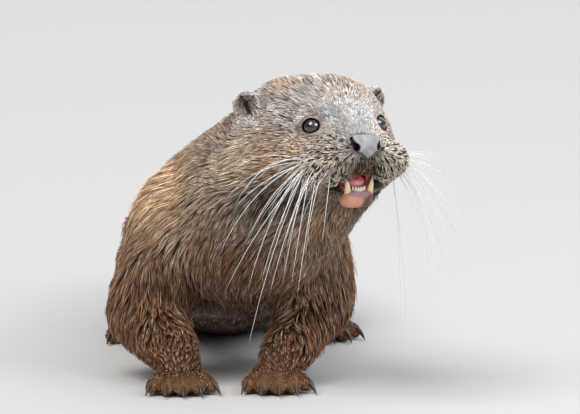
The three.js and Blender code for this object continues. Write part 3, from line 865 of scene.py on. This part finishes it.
def bare(points):
    """Where no hair grows: the mouth and lower lip, the nose pad, the eyes and the soles."""
    q = into_head(points)
    mouth = mouth_field(q.T)
    lip = ball(q.T, opened((54, 0, -18)), (7.5, 15, 8.3))
    pad = np.maximum(nose_edge(q.T), 56 - q[:, 0])
    found = (mouth < 0.9) | (lip < 0) | (pad < 0.3)
    for s in (1, -1):
        found |= np.linalg.norm(q - mirrored(EYE_AT, s), axis=1) < EYE_BARE
    return found | (points[:, 2] < 0.8)


def nearest(points, others):
    tree = KDTree(len(others))
    for i, p in enumerate(others):
        tree.insert(p, i)
    tree.balance()
    return np.array([tree.find(p)[1] for p in points], int)


RISE = (-0.08, 0.55, 0.88, 1.0)  # share of the coat's depth that a lock has risen to, at each place
GROUND_STEP = 1.4
LOWEST = 0.95  # mm above the floor, for a lock as it is laid
LOWEST_CLUMPED = 0.9


class Ground:
    """The skin's distance field, which locks follow as they lie over the body."""

    def __init__(self, skin):
        low, high = in_mm(cad_box)
        self.block = Block(low - 12, high + 12, GROUND_STEP)
        self.field = values(level_set(polygons_of(skin), GROUND_STEP, 11.0), self.block)

    def height(self, points):
        """The field's values at points, by trilinear interpolation."""
        at = np.asarray(points) / self.block.step - self.block.start
        at = np.clip(at, 0, np.array(self.block.shape) - 1.001)
        cell = at.astype(int)
        part = (at - cell).astype(np.float32)
        total = np.zeros(len(at), np.float32)
        for corner in range(8):
            step = np.array([corner >> 2 & 1, corner >> 1 & 1, corner & 1])
            weight = np.prod(np.where(step, part, 1 - part), axis=1)
            total += weight * self.field[tuple((cell + step).T)]
        return total

    def normal(self, points):
        """The direction in which the field grows fastest."""
        offsets = np.eye(3) * 0.8 * self.block.step
        rises = [self.height(points + offset) - self.height(points - offset) for offset in offsets]
        return unit(np.stack(rises, 1))

    def laid(self, roots, lie, length, depth):
        """Paths that start at roots and lie over the skin, with the normals along them."""
        place = roots.copy()
        paths, normals = [], []
        for k, share in enumerate(RISE):
            if k:
                place = place + way * (length / (len(RISE) - 1))[:, None]
            for _ in range(2):
                up = self.normal(place)
                place = place + up * (share * depth - self.height(place))[:, None]
            place[:, 2] = np.maximum(place[:, 2], LOWEST)
            way = unit(lie - up * (lie * up).sum(1, keepdims=True))
            paths.append(place.copy())
            normals.append(up)
        return np.stack(paths, 1), np.stack(normals, 1)


PLAIN = [name for name in FLESH if name.startswith(("rump", "tail", "hindleg"))]  # simpler locks
MOST_LOCKS = {4: 12000, 3: 19000}  # in one piece, by the places along a lock


def node_near(points):
    """The index in FLESH of the node nearest to each point."""
    samples, owners = [], []
    for i, name in enumerate(FLESH):
        found = strewn(triangles_of(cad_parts[name]), lambda p: np.full(len(p), 6.0))
        samples.append(found)
        owners.append(np.full(len(found), i))
    return np.concatenate(owners)[nearest(points, np.concatenate(samples))]


def unwrapped(points, name):
    """The roots' places on an unwrap: round a long node's length, or round a compact node's middle."""
    q = points - spot(name)
    if name in BODY_NODES:
        uv = np.stack([np.arctan2(q[:, 1], q[:, 2]), q[:, 0]], 1)
    else:
        uv = np.stack([np.arctan2(q[:, 1], q[:, 0]), np.arcsin(np.clip(unit(q)[:, 2], -1, 1))], 1)
    low, high = uv.min(0), uv.max(0)
    return 0.01 + 0.98 * (uv - low) / np.maximum(high - low, 1e-6)


PATCH = 0.003  # a lock's patch on the map
PROFILES = {4: [0.75, 1.0, 0.72, 0], 3: [0.8, 0.9, 0]}  # a lock's width at its places
# a lock's colour is scaled from root to tip: darker at the root as painted shade deep in the coat, brighter
# at the tip as painted highlight
TIP_SHADES = {4: [0.28, 0.5, 0.9, 1.32], 3: [0.38, 0.95, 1.35]}
TIP_SHEEN = 0.12  # painted sheen: how far the tips' colour goes towards a pale grey, the whitish highlights of wet hair


def coat_piece(name, node, finish, slot, paths, normals, width, colours):
    """One mesh of locks, each a three-sided hair with a flat belly."""
    places = paths.shape[1]
    halves = width[:, None] / 2 * np.array(PROFILES[places])
    points, faces, along, around = tapered(paths, normals, halves, 0.5 * halves, 3)
    piece = mesh_from(name, points, faces)
    # painted shade at the lock's root and painted highlight at its tip, with a painted whitish sheen
    # towards the tip
    shade = np.interp(along, np.linspace(0, 1, places), TIP_SHADES[places])
    sheened = colours + TIP_SHEEN * (1.1 * colours.mean(1, keepdims=True) - colours)
    tint = colours[:, None] + (sheened - colours)[:, None] * along[..., None]
    give(piece, "tint", (tint * shade[..., None]).reshape(-1, 3))
    uv = unwrapped(paths[:, 0], node)[:, None] + PATCH * (np.stack([along, around], -1) - 0.5)
    uv = uv.reshape(-1, 2)[read(piece.data.loops, "vertex_index", 1).ravel()]
    piece.data.uv_layers.new(name="OFBake").uv.foreach_set("vector", uv.astype(np.float32).ravel())
    settle(piece, finish, slot)


SPACING = 1.9  # a lock's spacing, in widths
CLUMP = 4.2  # a clump's spacing, in widths
SHORT = 5.5  # mm; shorter hair has fewer places along it
CLUMPING = 0.78  # how far long hair is drawn to its clump's leader
GUARD = {"share": 0.1, "longer": 0.3, "paler": 0.5}  # long hairs that stand out
PALE = {"share": 0.14, "dye": 0.5}
RUST = {"share": 0.14, "dye": 0.55, "length": 4}
MOUTH_HAIRS = 0.12  # share of the hairs over the mouth that are kept


def locks_at(points, ground, wildness):
    """Locks that start at points: their paths and normals, the guides' facts for them, and which of
    them are long guard hairs."""
    count = len(points)
    lie, length, width, depth, pepper = guided(points, "lie", "length", "width", "depth", "pepper")
    wander = 0.22 * waves(points, 45, 1) + 0.12 * waves(points, 14, 2)
    wander += rng.normal(0, wildness, count)
    lie = unit(lie)
    lie = lie + np.cross(ground.normal(points), lie) * wander[:, None]
    length = length * (1 + rng.uniform(-0.22, 0.22, count))
    depth = depth * rng.uniform(0.7, 1.08, count)
    guard = (rng.random(count) < GUARD["share"]) * smooth(6, 12, length) * (wildness > 0.05)
    length = length * (1 + GUARD["longer"] * guard)
    depth = depth * (1 + GUARD["longer"] * guard)
    return *ground.laid(points, lie, length, depth), length, width, depth, pepper, guard


def clear_of_face(paths):
    """Which locks pass the mouth and the eyes. A few of those over the mouth are kept."""
    q = into_head(paths.reshape(-1, 3))
    in_mouth = (mouth_field(q.T) < -0.2).reshape(len(paths), -1).any(1)
    clear = ~in_mouth | (rng.random(len(paths)) < MOUTH_HAIRS)
    for s in (1, -1):
        away = q - mirrored(EYE_AT, s)
        looks, along, over = eye_axes(s)
        covered = (np.hypot(away @ along / EYE_VIEW[0], away @ over / EYE_VIEW[1]) < 1) & (away @ looks > 2)
        clear &= ~covered.reshape(len(paths), -1).any(1)
    return clear


def make_coat(skin):
    ground = Ground(skin)
    triangles = triangles_of(skin)
    triangles = triangles[~bare(triangles.mean(1))]
    roots = strewn(triangles, lambda p: (SPACING - 0.35 * (p[:, 0] > 60)) * guided(p, "width")[0])
    clumps = strewn(triangles, lambda p: CLUMP * guided(p, "width")[0], 1.6)
    count = len(roots)
    paths, normals, length, width, depth, pepper, guard = locks_at(roots, ground, 0.1)
    # black locks: dark hairs, and on the muzzle's pads, where they are short and drawn wider, painted
    # shadow between the whisker follicles
    black = rng.random(count) < pepper * smooth(0.06, 0.16, pepper)
    width = np.where(black & (length < SHORT), 1.9 * width, width)

    leader = nearest(roots, clumps)
    led = locks_at(clumps, ground, 0.02)[0][leader]
    share = np.linspace(0, 1, len(RISE))[None, :, None] ** 1.2
    sleek = smooth(-35, -10, into_head(roots)[:, 0])  # the head's fur lies in fine lines, not in clumps
    pull = CLUMPING * smooth(3.0, 9.0, length) * (1 - 0.7 * guard) * (1 - 0.6 * sleek)
    pull = pull[:, None, None] * share
    near = np.linalg.norm(paths[:, 0] - led[:, 0], axis=1) < 8
    paths = np.where(near[:, None, None], paths + (led - paths) * pull, paths)
    lift = ground.height(paths[:, 3])
    paths[:, 3] += normals[:, 3] * np.clip(depth * 0.8 - lift, 0, 3)[:, None]
    paths[:, :, 2] = np.maximum(paths[:, :, 2], LOWEST_CLUMPED)
    clear = clear_of_face(paths)

    patches = 1 + 0.12 * waves(roots, 60, 3) + 0.1 * waves(roots, 18, 4)
    single = np.exp(rng.normal(0, 0.27, count))
    clumped = np.exp(np.random.default_rng(7).normal(0, 0.16, len(clumps)))[leader]
    colours = coat_colours(roots) * (patches * single * clumped * (1 + GUARD["paler"] * guard))[:, None]
    pale = rng.random(count) < PALE["share"] * smooth(2.5, 6, length)
    colours = dyed(colours, "cream", PALE["dye"] * pale)
    rust = (rng.random(count) < RUST["share"]) & (length > RUST["length"])
    colours = dyed(colours, "rust hair", RUST["dye"] * rust)
    colours[black] = tone("black hair and follicle shadow")

    owners = node_near(roots)
    finish = material("coat", (140.0, 0.8, 1.2), (300.0, 0.38, 0.6), Specular_IOR_Level=0.3)
    short = length < SHORT
    for i, node in enumerate(FLESH):
        slot = "face_coat" if node in HEAD_NODES + EAR_NODES else "body_coat"
        for look, places, mine in (("short", 3, short), ("long", 4, ~short)):
            mine = np.nonzero((owners == i) & clear & mine)[0]
            mine = mine[np.argsort(roots[mine, 0], kind="stable")]
            kept = [0, 2, 3] if places == 3 or node in PLAIN else [0, 1, 2, 3]
            lots = max(1, math.ceil(len(mine) / MOST_LOCKS[places]))
            for n, some in enumerate(np.array_split(mine, lots)):
                if len(some) < 3:
                    continue
                locks = (paths[some][:, kept], normals[some][:, kept], width[some], colours[some])
                coat_piece(f"coat_{node}_{look}_{n + 1}", node, finish, slot, *locks)
    return ground


# ---- nose, in the head's frame


NOSTRIL = {"hole": (66.4, 8.1, 4.7), "back": (60.5, 7.6, 4.7), "slit": (63.4, 10.4, 9.8)}


def nostrils(xyz):
    """The distance from the nostrils: a round hole each, with a slit that runs up and outwards."""
    found = []
    for s in (1, -1):
        hole, back, slit = (mirrored(NOSTRIL[k], s) for k in ("hole", "back", "slit"))
        front = hole + (1.5, 0.3 * s, 0.4)
        comma = soft_min(rod(xyz, front, back, 2.3), rod(xyz, hole, slit, 1.5, 0.8), 1.0)
        found.append(soft_min(comma, rod(xyz, slit, slit - (4, 2.5 * s, 0), 0.8), 0.8))
    return np.minimum(*found)


def nose_edge(xyz):
    """How far a place is outside the outline of the pad, seen from the front."""
    y, z = np.abs(xyz[1]), xyz[2]
    sides = y - (9.7 + 0.14 * (z - 5))
    top = z - (11.8 - 0.01 * y * y)
    lower = np.where(y < 4.6, -3.0 + y * 0.87, 1.0 + (y - 4.6) * 0.24)
    return soft_max(soft_max(sides, top, 4.0), lower - z, 1.5)


def nose_field(xyz):
    """The distance from the bare pad of the nose, with its nostrils."""
    bulge = ball(xyz, (54, 0, 5), (14.8, 14.6, 14))
    field = soft_max(bulge, nose_edge(xyz), 2.4)
    field = np.maximum(field, 57 - xyz[0])
    field = soft_max(field, -rod(xyz, (70.4, 0, 2.5), (67.4, 0, -4), 0.9, 0.7), 1.0)
    return soft_max(field, -nostrils(xyz), 0.8)


def head_piece(name, field, middle, reach, step, finish, slot, *nodes, tint=None):
    """A piece shaped by a field in the head's frame, with a colour for each of its places."""
    centre = from_head(middle)
    block = Block(centre - reach, centre + reach, step)
    solid = field(block.head_coordinates())
    points, triangles, quads = grid_of(solid, block, 3 * step).convertToPolygons(0)
    piece = mesh_from(name, points, [triangles[:, ::-1], quads[:, ::-1]])
    if tint:
        give(piece, "tint", tint(into_head(points)))
    settle(piece, finish, slot, *nodes)


def nose_tint(q):
    mottle = smooth(-0.6, 1.2, waves(q, 6.0, 21))
    # mottled at random, and darkened as painted shade towards the pad's bottom and along its lower edge
    colour = dyed(tone("nose"), "nose mottle and shade", 0.6 * mottle + 0.3 * smooth(3, -2, q[:, 2]))
    colour = dyed(colour, "nose low shade", smooth(-1.5, -0.3, nose_edge(q.T)) * smooth(7, 3, q[:, 2]))
    # painted shade: the nostrils' holes are near black
    return dyed(colour, "nostril", smooth(1.0, 0.4, nostrils(q.T)))


def make_nose():
    cells = (0.35, 0.0005, 1500.0, 3.0, "Voronoi", "Distance")
    skin = material("nose", (180.0, 0.8, 1.15), (400.0, 0.36, 0.54), cells, Specular_IOR_Level=0.3)
    head_piece("nose_pad", nose_field, (62, 0, 4), 17, 0.4, skin, "nose_skin", "nose", tint=nose_tint)


# ---- eyes


CORNEA = 0.45  # how far the clear front stands out
EYE_STOPS = [  # the eye's colours, by the share of a half turn from its front: pupil, iris, rim, rest
    (0.0, (3, 2, 2)), (0.1, (4, 3, 2)),
    (0.12, (40, 24, 14)), (0.2, (26, 16, 10)),
    (0.24, (6, 4, 3)), (0.3, (40, 30, 25)),
]


def make_eye(side, s):
    """An eyeball of rings about the way it looks, with a finer front."""
    looks, along, over = eye_axes(s)
    angles = np.radians(np.concatenate([np.linspace(2, 60, 30), np.linspace(64, 176, 20)]))
    turns = np.linspace(0, 2 * math.pi, 49)[:-1]
    radius = EYE_R + CORNEA * np.exp(-((np.degrees(angles) / 30) ** 2))
    spokes = np.cos(turns)[:, None] * along + np.sin(turns)[:, None] * over
    rings = np.cos(angles)[:, None, None] * looks + np.sin(angles)[:, None, None] * spokes
    rings = radius[:, None, None] * rings
    poles = np.array([looks * (EYE_R + CORNEA), -looks * EYE_R])
    points = from_head(mirrored(EYE_AT, s) + np.concatenate([rings.reshape(-1, 3), poles]))
    size = len(turns)
    total = len(angles) * size
    front, back = fan(0, size, total), fan(total - size, size, total + 1)
    quads = walls(len(angles), size)[:, [0, 3, 2, 1]]
    piece = mesh_from(f"eyeball_{side}", points, [quads, front, back[:, [1, 0, 2]]])
    degrees = np.append(np.repeat(np.degrees(angles), size), [0, 180])
    give(piece, "angle", degrees / 180)
    settle(piece, eye_material(), "eye_gloss", f"eye_{side}")


def eye_material():
    m = Nodes("eye")
    ramp = m.add("ShaderNodeValToRGB", {"Fac": m.fact("angle")})
    while len(ramp.color_ramp.elements) < len(EYE_STOPS):
        ramp.color_ramp.elements.new(0.5)
    for element, (at, colour) in zip(ramp.color_ramp.elements, EYE_STOPS):
        element.position = at
        element.color = (*linear(colour), 1)
    m.colour(ramp.outputs["Color"], 1200.0, 0.7, 1.3)
    m.shade(Roughness=0.05, Coat_Weight=1.0, Coat_Roughness=0.02, Coat_IOR=1.65)
    return m.material


# ---- mouth


def tongue_field(xyz):
    body = ball(xyz, opened((24, 0, -12.2)), (26, 8, 4.6))
    body = soft_min(body, ball(xyz, opened((40, 0, -8.6)), (10.5, 7, 4.2)), 3.0)
    groove = rod(xyz, opened((10, 0, -6.8)), opened((48, 0, -4.6)), 1.0)
    return soft_max(body, -groove, 1.2)


def make_tongue():
    rough = (500.0, 0.2, 0.4)
    bumps = (0.4, 0.0004, 2500.0)
    wet = material("tongue", (700.0, 0.75, 1.2), rough, bumps, base="tongue", Subsurface_Weight=0.15)
    head_piece("tongue_body", tongue_field, opened((24, 0, -13.6)), 30, 0.7, wet, "mouth_lining", "tongue")


HORN_SIDES = 12


def horn(name, paths, widths, heights, shades, finish, slot, *nodes, up=UP):
    """Smooth pointed pieces, such as teeth and claws. Shades run from the root to the tip."""
    points, faces, along, _ = tapered(np.asarray(paths, float), up, widths, heights, HORN_SIDES)
    piece = mesh_from(name, points, faces)
    stops = np.linspace(0, 1, len(shades))
    tint = np.stack([np.interp(along, stops, [linear(c)[i] for c in shades]) for i in range(3)], -1)
    give(piece, "tint", tint.reshape(-1, 3))
    settle(piece, finish, slot, *nodes)


def curve(controls, count):
    """Places along a smooth curve through a start, a middle and an end."""
    a, b, c = (np.asarray(p, float) for p in controls)
    t = np.linspace(0, 1, count)[:, None]
    bend = 2 * b - (a + c) / 2
    return (1 - t) ** 2 * a + 2 * t * (1 - t) * bend + t * t * c


CANINE = {
    "points": [(50.6, 7.0, -16.5), (52.3, 7.7, -9.2), (51.4, 9.0, -2.4)],
    "half_widths": np.array([[2.1, 2.2, 2.15, 2.0, 1.75, 1.45, 1.05, 0.6, 0]]),
    "shades": [(196, 142, 86), (226, 196, 140), (238, 226, 196), (240, 232, 212)],
}
INCISORS = {
    "count": 6, "apart": 1.55, "ahead": 53, "low": -14.5, "high": -8.2,
    "half_widths": [0.55, 0.68, 0.78, 0.8, 0.62, 0],
    "shades": [(214, 186, 150), (238, 230, 212)],
}
CLAW = {
    "half_heights": [1.6, 1.75, 1.7, 1.5, 1.15, 0.7, 0],
    "arch": 0.9,
    "shades": [(92, 76, 62), (58, 47, 40), (40, 33, 29)],
}


def make_teeth():
    enamel = material("tooth", (900.0, 0.9, 1.08), (600.0, 0.18, 0.32))
    halves = CANINE["half_widths"]
    for side, s in SIDES:
        points = [opened(mirrored(p, s)) for p in CANINE["points"]]
        path = from_head(curve(points, halves.shape[1]))[None]
        look = (halves, 0.9 * halves, CANINE["shades"], enamel, "tooth_enamel")
        horn(f"canine_tooth_{side}", path, *look, f"canine_{side}", up=AHEAD)
    paths = []
    halves = np.tile(INCISORS["half_widths"], (INCISORS["count"], 1))
    heights = np.linspace(INCISORS["low"], INCISORS["high"], halves.shape[1])
    for n in np.arange(INCISORS["count"]) - (INCISORS["count"] - 1) / 2:
        root = (INCISORS["ahead"] - 0.22 * n * n, INCISORS["apart"] * n)
        paths.append(from_head(opened([(*root, z) for z in heights])))
    look = (halves, 0.8 * halves, INCISORS["shades"], enamel, "tooth_enamel")
    horn("incisor_teeth", paths, *look, "incisors", up=AHEAD)


def claw_path(name):
    """A path along a claw's solid, from just inside the toe to the claw's tip."""
    corners = read(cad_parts[name].data.vertices, "co", 3).astype(float) / MM
    middle = corners.mean(0)
    axis = np.linalg.svd(corners - middle)[2][0]
    axis = axis * np.sign(axis[0])
    half = (corners - middle) @ axis
    base, tip = middle + axis * (half.min() - 0.8), middle + axis * (half.max() + 0.2)
    return curve([base, (base + tip) / 2 + UP * CLAW["arch"], tip], len(CLAW["half_heights"]))


def make_claws():
    keratin = material("claw", (900.0, 0.8, 1.2), (600.0, 0.25, 0.45), (0.25, 0.0004, 1200.0))
    for end in ("fore", "hind"):
        for side, _ in SIDES:
            names = [f"claw_{end}_{side}_{i}" for i in range(1, 6)]
            paths = [claw_path(name) for name in names]
            halves = np.tile(CLAW["half_heights"], (len(names), 1))
            look = (0.75 * halves, halves, CLAW["shades"], keratin, "claw_horn")
            horn(f"claws_{end}_{side}", paths, *look, *names)


# ---- whiskers


PLACES = 12  # along a whisker
ROWS, COLUMNS, BROWS = 5, 7, 3
WHISKER_R = 0.25


def whisker(root, start, length, droop, sweep):
    """A path that sets out one way and bends down and back."""
    t = np.linspace(0, 1, PLACES)[:, None]
    return root + length * (start * (t - 0.25 * t * t) + (sweep - UP * droop) * t * t)


def pad_root(ground, ahead, side, up):
    """The place on the outside of the muzzle that is so far ahead and up in the head's frame."""
    steps = from_head(np.array([[ahead, side * w, up] for w in np.linspace(50, 3, 189)]))
    reach = np.argmax(ground.height(steps) < 0.2)
    return steps[reach]


def pad_whisker(ground, s, row, column):
    """A whisker of the muzzle's pad, held clear of the coat."""
    back = (column + rng.uniform(-0.35, 0.35)) / (COLUMNS - 1)
    low = (row + rng.uniform(-0.35, 0.35)) / (ROWS - 1)
    root = pad_root(ground, 60 - 27 * back - 1.5 * low, s, -2 - 11.5 * low - 2.5 * back)
    start = np.array([0.45 - 0.5 * back, s * (1.05 - 0.75 * low), 0.1 - 1.0 * low])
    start = unit(start + rng.normal(0, 0.13, 3)) @ HEAD_AXES
    length = (26 + 44 * back + 22 * low) * rng.uniform(0.65, 1.15)
    path = whisker(root, start, length, rng.uniform(0.2, 0.55), np.array([-0.08, 0, 0]) @ HEAD_AXES)
    height = ground.height(path[1:])
    push = np.clip(1.5 + 3 * smooth(0, 0.5, np.linspace(0, 1, PLACES)[1:]) - height, 0, 8)
    path[1:] += ground.normal(path[1:]) * push[:, None]
    return path


def brow_whisker(ground, s, n):
    root = pad_root(ground, 27 - 4 * n, s, 22 + 1.5 * n)
    start = unit(np.array([0.1 - 0.2 * n, 0.6 * s, 1.0]) + rng.normal(0, 0.12, 3)) @ HEAD_AXES
    return whisker(root, start, rng.uniform(14, 22), 0.0, np.array([-0.5, 0.3 * s, 0]) @ HEAD_AXES)


def make_whiskers(ground):
    paths = []
    for s in (1, -1):
        paths += [pad_whisker(ground, s, row, column) for row in range(ROWS) for column in range(COLUMNS)]
        paths += [brow_whisker(ground, s, n) for n in range(BROWS)]
    paths = np.array(paths)
    fine = np.clip(np.linalg.norm(paths[:, -1] - paths[:, 0], axis=1) / 60, 0.45, 1)
    halves = WHISKER_R * fine[:, None] * (1 - np.linspace(0, 1, PLACES) ** 1.3 * 0.75)
    piece = mesh_from("whiskers", *tapered(paths, AHEAD, halves, halves, 6)[:2])
    rough = (300.0, 0.25, 0.4)
    finish = material("whisker", (500.0, 0.93, 1.0), rough, base="whisker", Subsurface_Weight=0.2)
    settle(piece, finish, "face_coat")


# ---- stage

CAMERA = {"azimuth": 82.0, "elevation": 7.0, "distance": 4.0, "lens": 400.0}
AIM = {"right": -0.0335, "up": -0.0498, "back": -0.0095}  # from between the eyes to the view's middle


def make_camera():
    a, e = math.radians(CAMERA["azimuth"]), math.radians(CAMERA["elevation"])
    back = Vector((math.sin(a) * math.cos(e), -math.cos(a) * math.cos(e), math.sin(e)))
    turn = back.to_track_quat("Z", "Y")
    right, up = turn @ Vector((1, 0, 0)), turn @ Vector((0, 1, 0))
    between = Vector((spot("eye_left") + spot("eye_right")) / 2 * MM)
    target = between + right * AIM["right"] + up * AIM["up"] + back * AIM["back"]
    camera = placed("camera", bpy.data.cameras.new("camera"))
    camera.data.lens = CAMERA["lens"]
    camera.data.clip_end = 100
    camera.rotation_mode = "QUATERNION"
    camera.rotation_quaternion = turn
    camera.location = target + back * CAMERA["distance"]
    bpy.context.scene.camera = camera


def make_light(name, kind, towards, power, colour=(1, 1, 1), **settings):
    """A light whose rays come from towards."""
    light = placed(name, bpy.data.lights.new(name, kind))
    light.data.energy = power
    light.data.color = colour
    for key, value in settings.items():
        setattr(light.data, key, value)
    light.rotation_mode = "QUATERNION"
    light.rotation_quaternion = Vector(towards).to_track_quat("Z", "Y")
    return light


FLOOR = 60000.0  # mm, half its side
SOFTBOX = {"place": Vector((2.1, 1.5, 1.9)), "aim": Vector((0.36, 0, 0.15))}


def make_stage():
    corners = np.array([[-1, -1, 0], [1, -1, 0], [1, 1, 0], [-1, 1, 0]]) * FLOOR
    floor = mesh_from("floor", corners, [np.array([[0, 1, 2, 3]])])
    m = Nodes("floor")
    m.shade(Base_Color=(0.54, 0.53, 0.52, 1), Roughness=0.9)
    floor.data.materials.append(m.material)
    world = bpy.data.worlds.new("studio")
    world.use_nodes = True
    background = world.node_tree.nodes["Background"]
    background.inputs["Color"].default_value = (0.88, 0.93, 1, 1)
    background.inputs["Strength"].default_value = 0.24
    bpy.context.scene.world = world
    make_light("key", "SUN", (0.42, -0.5, 1.0), 2.5, (1, 0.98, 0.95), angle=math.radians(40))
    make_light("sky", "SUN", (0.45, 0.3, 1.0), 1.3, (0.88, 0.94, 1), angle=math.radians(120))
    make_light("back", "SUN", (-0.9, 0.5, 0.7), 0.7, angle=math.radians(60))
    way = SOFTBOX["place"] - SOFTBOX["aim"]
    softbox = make_light("softbox", "AREA", way, 34, (0.96, 0.97, 1), shape="DISK", size=1.5)
    softbox.location = SOFTBOX["place"]


bpy.context.scene.view_settings.view_transform = "Standard"
make_camera()
make_stage()
skin = make_skin()
ground = make_coat(skin)
make_nose()
for side, s in SIDES:
    make_eye(side, s)
make_tongue()
make_teeth()
make_claws()
make_whiskers(ground)
